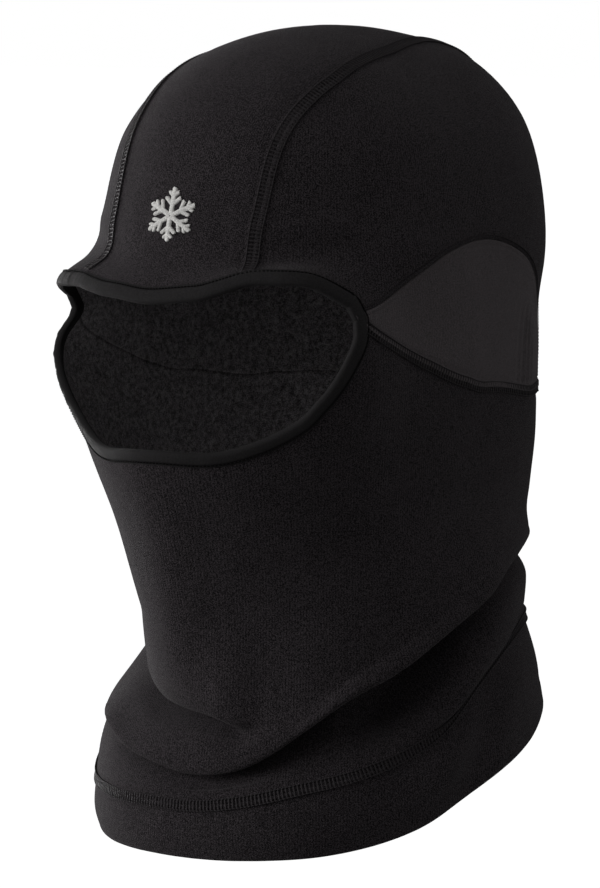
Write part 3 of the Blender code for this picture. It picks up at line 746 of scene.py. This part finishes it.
def thread_material(name, colour, roughness=0.5, fine=2600.0):
    """Spun thread: fine fibres round it."""
    n = Nodes(name)
    place = n.add("ShaderNodeTexCoord").outputs["Object"]
    fibres = n.noise(place, fine, 2.0, 0.5)
    base = n.ramp(fibres, [(0.3, shade(colour, 0.72)), (0.7, shade(colour, 1.12))])
    relief = n.bump(fibres, 0.35, 0.0002)
    return n.finish(base, roughness, relief, 0.0, 0.4, 0.05)


def label_material(name, colour):
    """Woven satin of the blank care label."""
    n = Nodes(name)
    cut = n.add("ShaderNodeUVMap", uv_map="cut").outputs["UV"]
    parts = n.add("ShaderNodeSeparateXYZ", {"Vector": cut})
    weft = n.math("SINE", n.times(parts.outputs["Y"], 2 * np.pi / 0.0006))
    warp = n.math("SINE", n.times(parts.outputs["X"], 2 * np.pi / 0.0004))
    weave = n.times(weft, warp)
    base = n.ramp(n.plus(n.times(weave, 0.5), 0.5),
                  [(0.0, shade(colour, 0.88)), (1.0, colour)])
    return n.finish(base, 0.5, n.bump(weave, 0.3, 0.0001), 0.1, 0.4, 0.4)


BLACK = (0.0265, 0.0230, 0.0252)
# The inside pile's colour is raised to a mid grey: partly the pile's own tone, partly painted light
# for the light that falls in through the opening.
FLEECE_AND_PAINTED_LIGHT = (0.2500, 0.2360, 0.2440)
SLATE = (0.0760, 0.0670, 0.0705)
TAPE = (0.0150, 0.0140, 0.0146)
INK = (0.0330, 0.0295, 0.0315)
WHITE = (0.78, 0.77, 0.75)
LABEL = (0.70, 0.70, 0.68)

knit = knit_material("brushed_knit", BLACK, 0.0011, 0.00045, 0.85, 0.10, 0.95)
ear_knit = knit_material("ear_knit", SLATE, 0.0009, 0.0005, 0.25, 0.08, 0.8)
# The fleece colour carries painted light for the lit inside of the garment.
fleece = fleece_material("fleece_pile_painted_light", FLEECE_AND_PAINTED_LIGHT)
tape = tape_material("edge_tape", TAPE)
thread = thread_material("black_thread", INK)
# The tape's topstitching thread is darkened to under a fifth of the other thread: painted shade of
# the dimples the stitches sink into, over the thread's own black.
needle_row_painted_shade = thread_material("fine_thread_painted_shade", shade(INK, 0.18))
floss = thread_material("white_floss", WHITE, 0.42, 1800.0)
satin = label_material("label_satin", LABEL)


# ---------------------------------------------------------------- seam lines

def cells(length):
    """Cells along a length of fabric."""
    return max(int(round(length / (CELL * COARSE))), 4)


LONG = cells(350)       # crown seam, and the ear's edge opposite it
EAR = cells(262)        # the ear panel's long edges
REAR = LONG - EAR       # its rear edge
FRONT = cells(70)       # from the crown seam to the eye corner
HALF_CROWN = cells(52)
LOWER = cells(175)      # from the eye corner under the nose

eye_upper = divide_half(EYE_UPPER, HALF_CROWN)
eye_side = divide(EYE_SIDE, FRONT)
eye_corner = divide(EYE_CORNER, REAR)
eye_lower = divide_half(EYE_LOWER[::-1], LOWER)[::-1]
crown_line = divide(CROWN_LINE, LONG)
ear_upper = divide(EAR_UPPER, EAR)
ear_rear = divide(EAR_REAR, REAR)
ear_lower = divide(EAR_LOWER, EAR)
nape_side = divide(NAPE_SIDE, FRONT)
nape_back = divide_half(NAPE_BACK, HALF_CROWN)
half_loop = join(eye_upper, eye_side, eye_corner, eye_lower)


def flat_uv(grid, radius=84.0):
    """Cut coordinates of a piece: round the head and down it, in millimetres."""
    phi = np.unwrap(np.arctan2(grid[..., 0], -grid[..., 1]), axis=1)
    return np.stack([phi * radius, np.hypot(grid[..., 0], grid[..., 1])], -1)


def sewn(name, grid, thickness, materials, relief, uv, closed=False):
    """A piece of the garment over a grid of the opened-out fabric."""
    x = grid[..., 0]
    y = grid[..., 1]
    face = surface(x, y)
    out = normal(x, y)
    rise = relief(face, from_edges(face))
    rise = rise + 0.22 * waves(face, 55.0, 3) + 0.05 * waves(face, 9.0, 5)
    outer = face + out * rise[..., None]
    if np.ndim(thickness) == 2:
        thickness = thickness[..., None]
    inner = face - out * (thickness - 0.2 * waves(face, 55.0, 3)[..., None])
    return cloth(name, outer, inner, uv, materials, closed)


# ---------------------------------------------------------------- the pieces

def crown_panel():
    grid = coons(join(mirror(eye_upper)[::-1], eye_upper),
                 join(mirror(nape_back)[::-1], nape_back), mirror(crown_line), crown_line)

    def relief(face, edge):
        side = np.minimum(edge["left"], edge["right"])
        return seam_relief(side, 2.4) + seam_relief(edge["end"], 2.0)
    return sewn("crown_cloth", grid, FABRIC, [knit, fleece], relief, grid)


def side_panel(side, place):
    grid = coons(place(eye_side), place(nape_side), place(crown_line),
                 place(join(ear_upper, ear_rear)))

    def relief(face, edge):
        return (seam_relief(edge["left"], 2.4) + seam_relief(edge["end"], 2.0)
                - 0.35 * (1 - smooth(0.3, 1.6, edge["right"])))
    return sewn("side_cloth_" + side, grid, FABRIC, [knit, fleece], relief, flat_uv(grid))


def ear_panel(side, place):
    grid = coons(place(eye_corner), place(ear_rear), place(ear_upper), place(ear_lower))

    def relief(face, edge):
        upper = np.minimum(edge["left"], edge["end"])
        lip = 0.55 * smooth(-0.1, 0.5, upper) - 0.30 * smooth(2.6, 7.0, upper)
        groove = -0.42 * bump(upper, 1.7, 0.38)
        lower = seam_relief(edge["right"], 2.0)
        pleats = 0.55 * np.sin(edge["end"] * 1.25) * bump(edge["end"], 25, 8)
        pleats = pleats * smooth(10, 25, edge["left"]) * smooth(1.5, 5, edge["right"])
        return lip + groove + lower + pleats
    edge = from_edges(surface(grid[..., 0], grid[..., 1]))
    inside = np.minimum(np.minimum(edge["left"], edge["right"]),
                        np.minimum(edge["end"], edge["start"]))
    thickness = FABRIC - (FABRIC - EAR_FABRIC) * smooth(1, 9, inside)
    return sewn("ear_cloth_" + side, grid, thickness, [ear_knit, fleece], relief, flat_uv(grid))


def tube_grid():
    """Face cover and neck tube, from the centre of the back round the front."""
    left = join(nape_back, nape_side, ear_lower[::-1], eye_lower)
    top = join(left, mirror(left)[::-1])
    columns = len(top)
    even = np.linspace(np.pi, -np.pi, columns)
    top_angle = np.arctan2(top[:, 0], -top[:, 1])
    top_angle[0] = np.pi
    top_angle[-1] = -np.pi
    rim = surface(top[:, 0], top[:, 1])
    below = unit(np.cross(np.gradient(rim, axis=0), normal(top[:, 0], top[:, 1])))
    if below[columns // 2, 2] > 0:
        below = -below
    for _ in range(int(14 / COARSE)):
        below[1:-1] = below[:-2] + below[1:-1] * 2 + below[2:]
        below = unit(below)
    rows = [top]
    x = top[:, 0]
    y = top[:, 1]
    steps = int(SEAM_MARGIN / (CELL * COARSE))
    for _ in range(steps):
        x, y = walk(x, y, below * SEAM_MARGIN / steps)
        x = x.copy()
        x[0] = 0.0
        x[-1] = 0.0
        rows.append(np.stack([x, y], -1))
    first_angle = np.arctan2(x, -y)
    first_angle[0] = np.pi
    first_angle[-1] = -np.pi
    first_down = np.hypot(x, y)
    foot_angle = 0.3 * even + 0.7 * top_angle
    count = cells(SEAM_RING - TUBE_TOP)
    for k in range(1, count + 1):
        share = k / count
        down = first_down + (SEAM_RING - first_down) * share
        blend = smooth(0.0, 0.6, share)
        angle = first_angle * (1 - blend) + foot_angle * blend
        rows.append(around_apex(down, angle))
    return np.stack(rows), foot_angle


def face_neck_panel(grid):
    def relief(face, edge):
        under_tape = -face[:1, :, 1] > 62
        seam = np.where(under_tape, 0.0, seam_relief(edge["start"], 2.0))
        side = np.minimum(edge["left"], edge["right"])
        return seam + seam_relief(edge["end"], 2.0) + seam_relief(side, 2.0)
    face = surface(grid[..., 0], grid[..., 1])
    phi = np.unwrap(np.arctan2(grid[..., 0], -grid[..., 1]), axis=1)
    uv = np.stack([phi * 86.0, along(face, 0)], -1)
    down = np.hypot(grid[..., 0], grid[..., 1])
    thickness = FABRIC * (1 - 0.75 * smooth(304, 314, down) * (1 - smooth(372, 388, down)))
    return sewn("face_neck_cloth", grid, thickness, [knit, fleece], relief, uv)


def neck_band(foot_angle):
    """The band: one strip folded double, its fold at the hem."""
    angle = foot_angle[:-1]
    down = np.linspace(SEAM_RING, BAND_END, cells(31))
    grid = around_apex(down[:, None], angle)
    face = surface(grid[..., 0], grid[..., 1])
    out = normal(grid[..., 0], grid[..., 1])
    edge = along(face, 0)
    rise = (seam_relief(edge, 2.0) + 0.18 * waves(face, 50.0, 8) + 0.06 * waves(face, 9.0, 5)
            - 0.25 * bump(edge, edge[-1:].mean() - 2.0, 2.5))[..., None]
    middle = 2 * LEAF + 0.25
    outer_leaf = face + out * rise
    hidden = face + out * (rise - LEAF)
    inner_leaf = face + out * (0.4 * rise - middle)
    inner_hidden = face + out * (0.4 * rise - middle + LEAF)
    fold_outer = []
    fold_inner = []
    below = unit(face[-1] - face[-3])
    centre = (outer_leaf[-1] + inner_leaf[-1]) / 2
    half = np.linalg.norm(outer_leaf[-1] - inner_leaf[-1], axis=-1, keepdims=True) / 2
    for turn in np.linspace(0, np.pi, 11)[1:-1]:
        direction = out[-1] * np.cos(turn) + below * np.sin(turn) * 0.9
        fold_outer.append(centre + direction * half)
        fold_inner.append(centre + direction * (half - LEAF))
    outside = np.concatenate([outer_leaf, np.stack(fold_outer), inner_leaf[::-1]])
    inside = np.concatenate([hidden, np.stack(fold_inner), inner_hidden[::-1]])
    rows = along(outside, 0)
    uv = np.stack([np.broadcast_to(angle * 87.0, rows.shape), rows], -1)
    return cloth("neck_band_cloth", outside, inside, uv, [knit, knit], closed=True)


def tape_share(at, length):
    """The tape is pulled narrower round the sides and below than over the brow."""
    from_top = np.minimum(at, length - at)
    return 0.74 + 0.22 * (1 - smooth(75, 125, from_top))


def opening_tape(loop):
    """Elastic tape folded over the edge of the opening."""
    x, y, at, length = fine_line(loop, 0.45 * COARSE, closed=True)
    share = tape_share(at, length)[:, None]
    here = surface(x, y)
    away = unit(np.cross(normal(x, y), heading(here, True)))
    if np.sum(away * (here - here.mean(axis=0))) < 0:
        away = -away
    reaches = np.array([0, 0.5, 1.0, 1.7, 2.5, 3.4, 4.2, 4.8, 5.1, 5.4, 5.7, 6.1, 6.4])
    faces = [here]
    outs = [normal(x, y)]
    px = x
    py = y
    for step in np.diff(reaches):
        push = unit(away - np.sum(away * outs[-1], -1, keepdims=True) * outs[-1])
        px, py = walk(px, py, push * step * share)
        faces.append(surface(px, py))
        outs.append(normal(px, py))
    stitch = np.abs(np.sin(np.pi * at / STITCH))[:, None]
    slack_side = smooth(-30, -55, here[:, 0])[:, None]
    ripple = ((0.10 + 0.10 * slack_side) * waves(here, 11.0, 21)[:, None]
              + (0.05 + 0.30 * slack_side) * waves(here, 4.0, 22)[:, None])
    lifts = np.array([0.70, 0.86, 0.92, 0.94, 0.93, 0.90, 0.86, 0.78, 0.66, 0.55, 0.66, 0.64, 0.25])
    dimple = 0.50 * bump(reaches, 5.35, 0.55)
    section = []
    for face, out, lift, deep in zip(faces, outs, lifts, dimple):
        section.append(face + out * (lift + ripple * (lift > 0.5) - deep * stitch))
    section = section[::-1]
    lip = [(-0.50, 0.45), (-0.78, -0.1), (-0.86, -0.9), (-0.78, -1.7), (-0.50, -2.25)]
    for back, lift in lip:
        section.append(here + away * back + outs[0] * (lift + 0.5 * ripple))
    for face, out, lift in zip(faces, outs, lifts):
        section.append(face - out * (FABRIC + lift * 0.85))
    section += [faces[-1] - outs[-1] * (FABRIC + 0.1), faces[6] - outs[6] * (FABRIC + 0.15),
                faces[0] - outs[0] * (FABRIC + 0.15), faces[0] + outs[0] * 0.1,
                faces[6] + outs[6] * 0.1, faces[-1] + outs[-1] * 0.05]
    section = np.stack(section)
    rows = along(section, 0)
    uv = np.stack([np.broadcast_to(at, rows.shape), rows], -1)
    quads = grid_quads(len(section), len(x), wrap_rows=True, wrap_columns=True)
    return outward(make_mesh("opening_tape", section.reshape(-1, 3), quads, [tape],
                             uv.reshape(-1, 2))), length


def snowflake():
    """Six-armed snowflake in satin stitch: threads laid close together across each stroke."""
    centre_x = 0.6
    centre_y = -133.5
    strokes = []
    for arm in range(6):
        heading = radians(60 * arm)
        forward = np.array([sin(heading), cos(heading)])
        sideways = np.array([cos(heading), -sin(heading)])
        strokes.append((forward * 0.4, forward * 11.4, 1.05))
        for turn in (-1, 1):
            strokes.append((forward * 4.6, forward * 7.7 + sideways * 3.3 * turn, 0.8))
            strokes.append((forward * 7.9, forward * 9.9 + sideways * 2.1 * turn, 0.7))
    draw = np.random.default_rng(4)
    runs = []
    for level, (start, end, half) in enumerate(strokes):
        length = np.linalg.norm(end - start)
        forward = (end - start) / length
        sideways = np.array([forward[1], -forward[0]])
        count = int(length / 0.27)
        for k in range(count + 1):
            at = start + forward * (k / count * length)
            width = half * min(1.0, 0.55 + 0.5 * min(k, count - k)) + draw.uniform(-0.07, 0.07)
            slant = 0.16
            t = np.linspace(-1, 1, 9)
            flat = at + (sideways * (t * width)[:, None] + forward * (t * slant)[:, None])
            lift = 0.12 + 0.52 * np.sqrt(np.clip(1 - t ** 2, 0, 1)) + 0.05 * (level % 5 == 0)
            lift = np.where(np.abs(t) > 0.99, -0.25, lift)
            px = centre_x + flat[:, 0] * 1.45
            py = centre_y - flat[:, 1]
            out = normal(px, py)
            path = surface(px, py) + out * (lift + draw.uniform(-0.03, 0.03))[:, None]
            runs.append(tube(path, out, 0.165, squash=0.8))
    return threads("snowflake_embroidery", runs, floss)


def care_label():
    """Blank woven label inside the band, caught in its seam."""
    down = np.linspace(396.5, 416.5, 24)
    angle = np.pi + np.linspace(-13, 13, 28) / 90
    grid = around_apex(down[:, None], angle)
    face = surface(grid[..., 0], grid[..., 1])
    out = normal(grid[..., 0], grid[..., 1])
    curl = 0.5 * smooth(0.5, 1.0, np.linspace(0, 1, 24))[:, None, None]
    wave = 0.12 * waves(face, 14.0, 31)[..., None]
    depth = 2 * LEAF + 0.25 + 0.75
    outer = face - out * (depth + curl + wave)
    inner = face - out * (depth + 0.3 + curl + wave)
    width = along(face, 1)
    height = along(face, 0)
    return cloth("care_label_cloth", outer, inner, np.stack([width, height], -1), [satin, satin])


# ---------------------------------------------------------------- assembling

STITCH = 1.45           # pitch of the topstitching
LADDER = 1.55           # pitch of the flat seams

loop = join(half_loop, mirror(half_loop)[::-1])[:-1]
grid, foot_angle = tube_grid()
tape_piece, loop_length = opening_tape(loop)

sheets = [
    (crown_panel(), "crown_panel", "knit", (0.092, 0.365), 0.0245),
    (face_neck_panel(grid), "face_neck_panel", "knit", (0.530, 0.240), 0.0820),
    (neck_band(foot_angle), "neck_band", "knit", (0.545, 0.064), None),
    (tape_piece, "opening_binding", "tape", (loop_length * MM, 0.0165), None),
    (care_label(), "care_label", "label", (0.026, 0.021), None),
]
pieces = []
for side, place in (("left", lambda points: points), ("right", mirror)):
    sheets.append((side_panel(side, place), "side_panel_" + side, "knit", (0.140, 0.270), 0.0218))
    sheets.append((ear_panel(side, place), "ear_panel_" + side, "ear_knit", (0.140, 0.062), 0.0058))
    line = place(shorten(divide(CROWN_LINE, LONG), 6.2, 2.6))
    pieces.append((flat_seam("crown_thread_" + side, line, FLATLOCK, LADDER, SEAM_LIFT, thread),
                   "crown_seam_" + side, "thread"))
    edge = place(shorten(join(divide(EAR_UPPER, EAR), divide(EAR_REAR, 8)), 5.4, 3.0))
    inset = 1.7 if side == "left" else -1.7
    pieces.append((topstitch("ear_thread_" + side, edge, inset, 0.42, STITCH, thread),
                   "ear_topstitch_" + side, "thread"))
nape = join(ear_lower, nape_side[::-1], nape_back[::-1])
nape = shorten(join(nape, mirror(nape)[::-1]), 5.0, 5.0)
back = np.stack([np.zeros(160), np.linspace(214.0, 391.0, 160)], -1)
around = around_apex(SEAM_RING, foot_angle[:-1])
for name, line in (("nape", nape), ("back", back), ("band", around)):
    seam = flat_seam(name + "_thread", line, NARROW_FLATLOCK, LADDER, SEAM_LIFT, thread,
                     closed=name == "band")
    pieces.append((seam, name + "_seam", "thread"))
# The thread of the tape's topstitching carries painted shade of the stitch dimples.
pieces.append((topstitch("tape_thread", loop, 5.35, 0.70, STITCH, needle_row_painted_shade, True, 0.27,
                         lambda s: tape_share(s, loop_length)),
               "binding_topstitch", "thread"))
pieces.append((snowflake(), "forehead_motif", "embroidery"))

for piece, node, slot, flat, area in sheets:
    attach(piece, "root")
    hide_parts(node)
for piece, node, slot in pieces:
    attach(piece, "root")
    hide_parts(node)


# ---------------------------------------------------------------- floor, light, camera

def stage_floor():
    """A wide pale floor, far enough below that no shadow falls in view."""
    mesh = bpy.data.meshes.new("floor")
    size = 30.0
    corners = [(x * size, y * size, -1.1) for x, y in ((-1, -1), (1, -1), (1, 1), (-1, 1))]
    mesh.from_pydata(corners, [], [(0, 1, 2, 3)])
    n = Nodes("floor")
    place = n.add("ShaderNodeTexCoord").outputs["Object"]
    grain = n.noise(place, 3.0, 2.0, 0.5)
    n.finish(n.ramp(grain, [(0.0, (0.93, 0.93, 0.93)), (1.0, (0.97, 0.97, 0.97))]), 0.9,
             n.bump(grain, 0.05, 0.001))
    n.shader.inputs["Emission Color"].default_value = (1, 1, 1, 1)
    n.shader.inputs["Emission Strength"].default_value = 0.9
    mesh.materials.append(n.material)
    floor = bpy.data.objects.new("floor", mesh)
    floor.visible_diffuse = False
    floor.visible_glossy = False
    bpy.context.scene.collection.objects.link(floor)


def surroundings(strength, backdrop):
    """Dim white room, with a clean white behind."""
    world = bpy.data.worlds.new("studio")
    world.use_nodes = True
    tree = world.node_tree
    tree.nodes.clear()
    path = tree.nodes.new("ShaderNodeLightPath")
    room = tree.nodes.new("ShaderNodeBackground")
    behind = tree.nodes.new("ShaderNodeBackground")
    mix = tree.nodes.new("ShaderNodeMixShader")
    output = tree.nodes.new("ShaderNodeOutputWorld")
    room.inputs["Strength"].default_value = strength
    room.inputs["Color"].default_value = (1.0, 1.0, 1.0, 1)
    behind.inputs["Strength"].default_value = backdrop
    behind.inputs["Color"].default_value = (1.0, 1.0, 1.0, 1)
    tree.links.new(path.outputs["Is Camera Ray"], mix.inputs[0])
    tree.links.new(room.outputs[0], mix.inputs[1])
    tree.links.new(behind.outputs[0], mix.inputs[2])
    tree.links.new(mix.outputs[0], output.inputs[0])
    bpy.context.scene.world = world


def soft_light(name, azimuth, elevation, distance, size, power):
    """A large soft light that looks at the middle of the hood."""
    lamp = bpy.data.lights.new(name, "AREA")
    lamp.shape = "DISK"
    lamp.size = size
    lamp.energy = power
    thing = bpy.data.objects.new(name, lamp)
    a = radians(azimuth)
    e = radians(elevation)
    direction = Vector((sin(a) * cos(e), -cos(a) * cos(e), sin(e)))
    thing.location = direction * distance + Vector((0, 0, -0.16))
    thing.rotation_euler = direction.to_track_quat("Z", "Y").to_euler()
    bpy.context.scene.collection.objects.link(thing)


def camera(azimuth, elevation, distance, lens, target, aside):
    """The view from in front and to the wearer's left, slightly from above."""
    a = radians(azimuth)
    e = radians(elevation)
    direction = Vector((sin(a) * cos(e), -cos(a) * cos(e), sin(e)))
    right = Vector((cos(a), sin(a), 0))
    data = bpy.data.cameras.new("camera")
    data.lens = lens
    data.sensor_width = 36.0
    data.clip_end = 100.0
    thing = bpy.data.objects.new("camera", data)
    thing.location = Vector(target) + direction * distance + right * aside
    thing.rotation_euler = direction.to_track_quat("Z", "Y").to_euler()
    bpy.context.scene.collection.objects.link(thing)
    bpy.context.scene.camera = thing


stage_floor()
surroundings(0.165, 1.0)
soft_light("rim_from_left", -105, 0, 2.2, 1.2, 33)
soft_light("key_from_left", -45, 5, 2.2, 1.2, 27)
soft_light("front", -10, 25, 2.2, 1.2, 7)
soft_light("top", 0, 75, 2.2, 1.2, 5)
soft_light("rim_from_right", 130, 10, 2.2, 1.2, 4.5)
camera(38.0, 5.0, 2.5, 255.4, (0, 0, -0.1642), -0.0083)
bpy.context.scene.view_settings.view_transform = "Standard"
